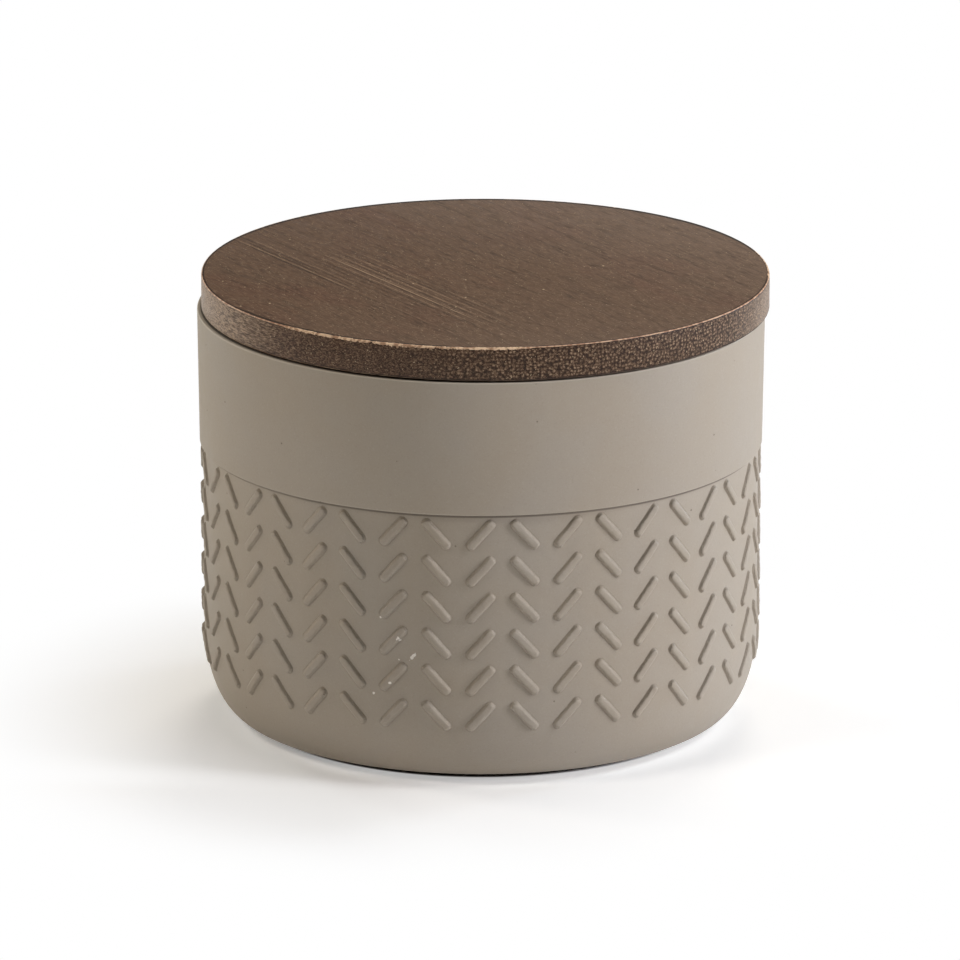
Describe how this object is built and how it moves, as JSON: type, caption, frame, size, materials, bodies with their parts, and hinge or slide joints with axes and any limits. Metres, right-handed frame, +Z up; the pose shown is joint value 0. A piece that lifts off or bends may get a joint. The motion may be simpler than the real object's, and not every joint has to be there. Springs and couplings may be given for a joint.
{
  "type": "bathroom jar",
  "caption": "Round storage jar with a smooth band, a herringbone relief below it and a flat wooden lid that lifts off.",
  "frame": {"origin": "centre of the underside, on the surface that the jar stands on", "axes": "+Z up along the jar's axis; -Y is the side that faces the viewer; the lid board is glued a little towards +X"},
  "size_m": [0.1007, 0.1, 0.0804],
  "materials": {
    "taupe_resin": "matte cast resin with a fine speckle and small pits",
    "dark_foam": "dull closed-cell foam",
    "stained_bamboo": "dark-stained satin bamboo with worn pale arrises",
    "plug_bamboo": "dark-stained bamboo, matte",
    "clear_silicone": "milky soft silicone"
  },
  "bodies": {
    "jar": {"jar_body": "taupe_resin", "base_pad": "dark_foam"},
    "seal": {"seal_ring": "clear_silicone"},
    "lid": {"lid_board": "stained_bamboo", "lid_plug": "plug_bamboo"}
  },
  "joints": [
    {"name": "lid_lift", "type": "slide", "parent": "jar", "child": "seal", "axis": [0, 0, 1], "range_m": [0, 0.1]},
    {"name": "lid_turn", "type": "hinge", "parent": "seal", "child": "lid", "pos_m": [0, 0, 0.07415], "axis": [0, 0, 1], "continuous": true}
  ]
}
